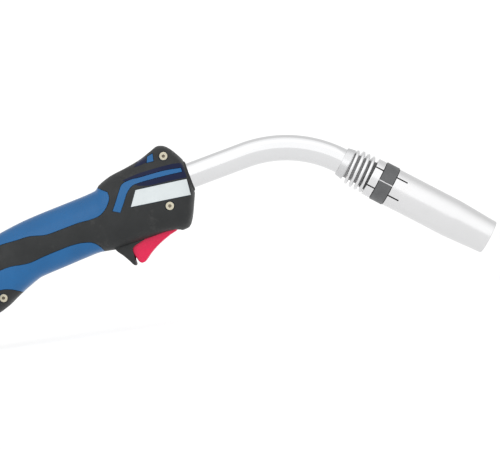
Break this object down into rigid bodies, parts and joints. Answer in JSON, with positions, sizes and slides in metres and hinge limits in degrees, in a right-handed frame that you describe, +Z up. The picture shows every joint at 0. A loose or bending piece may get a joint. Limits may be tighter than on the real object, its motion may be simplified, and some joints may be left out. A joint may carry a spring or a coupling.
{
  "type": "welding torch",
  "caption": "Gas-cooled MIG welding torch: a two-part handle with a finger trigger, a bent chromed neck, and a sprung push-on gas nozzle round a copper contact tip.",
  "frame": {"origin": "under the middle of the torch's length and width, on the surface that it stands on with its rear collar and its nozzle's lip", "axes": "+X along the torch from the cable inlet to the nozzle, +Y across to its left side, +Z up, with the trigger below"},
  "size_m": [0.371, 0.036, 0.0955],
  "materials": {
    "blue_plastic": "moulded, satin",
    "black_overmould": "soft matt overmould",
    "red_trigger": "moulded, satin",
    "label_white": "satin",
    "bright_chrome": "bright plated",
    "nozzle_nickel": "nickel plated, fine turned",
    "spring_steel": "drawn wire",
    "dark_band": "blackened",
    "brass": "machined",
    "copper": "machined copper",
    "plated_screw": "yellow zinc plated",
    "insulator": "moulded",
    "seal_rubber": "matt",
    "switch_case": "moulded"
  },
  "bodies": {
    "torch": {"contact_tip": "copper", "gas_diffuser": "brass", "inlet_ring": "insulator", "lever_pin": "spring_steel", "name_plate_left": "label_white", "name_plate_right": "label_white", "neck_block": "brass", "neck_collar": "bright_chrome", "neck_conductor": "copper", "neck_seal": "seal_rubber", "neck_sleeve": "insulator", "neck_tube": "bright_chrome", "nozzle_seat": "insulator", "nozzle_spring": "spring_steel", "nut_front": "plated_screw", "nut_heel": "plated_screw", "nut_rear": "plated_screw", "nut_top": "plated_screw", "overmould_left": "black_overmould", "overmould_right": "black_overmould", "screw_front": "plated_screw", "screw_heel": "plated_screw", "screw_rear": "plated_screw", "screw_top": "plated_screw", "shell_left": "blue_plastic", "shell_right": "blue_plastic", "switch_case": "switch_case", "switch_pin_1": "spring_steel", "switch_pin_2": "spring_steel", "switch_terminal_1": "brass", "switch_terminal_2": "brass", "tip_holder": "brass", "trigger_pin": "spring_steel", "trigger_spring": "spring_steel", "wire_liner": "spring_steel"},
    "trigger": {"trigger": "red_trigger"},
    "switch_lever": {"switch_lever": "spring_steel"},
    "switch_plunger": {"switch_plunger": "red_trigger"},
    "nozzle": {"nozzle": "nozzle_nickel", "nozzle_band": "dark_band"}
  },
  "joints": [
    {"name": "trigger_press", "type": "hinge", "parent": "torch", "child": "trigger", "pos_m": [-0.02111, 0, 0.04687], "axis": [0, 1, 0], "range_deg": [0, 6], "stiffness_Nm_per_rad": 0.6, "springref_deg": -2.86, "deforming": ["trigger_spring"]},
    {"name": "lever_swing", "type": "hinge", "parent": "torch", "child": "switch_lever", "pos_m": [-0.05601, 0, 0.04256], "axis": [0, 1, 0], "range_deg": [-7.6, 0]},
    {"name": "plunger_push", "type": "slide", "parent": "torch", "child": "switch_plunger", "axis": [-0.2179, 0, 0.976], "range_m": [0, 0.0007]},
    {"name": "nozzle_pull", "type": "slide", "parent": "torch", "child": "nozzle", "axis": [0.815, 0, -0.5795], "range_m": [0, 0.025]}
  ],
  "couplings": [
    {"joint": "lever_swing", "follows": "trigger_press", "ratio": -1.2581},
    {"joint": "plunger_push", "follows": "trigger_press", "m_per_rad": 0.00629}
  ]
}
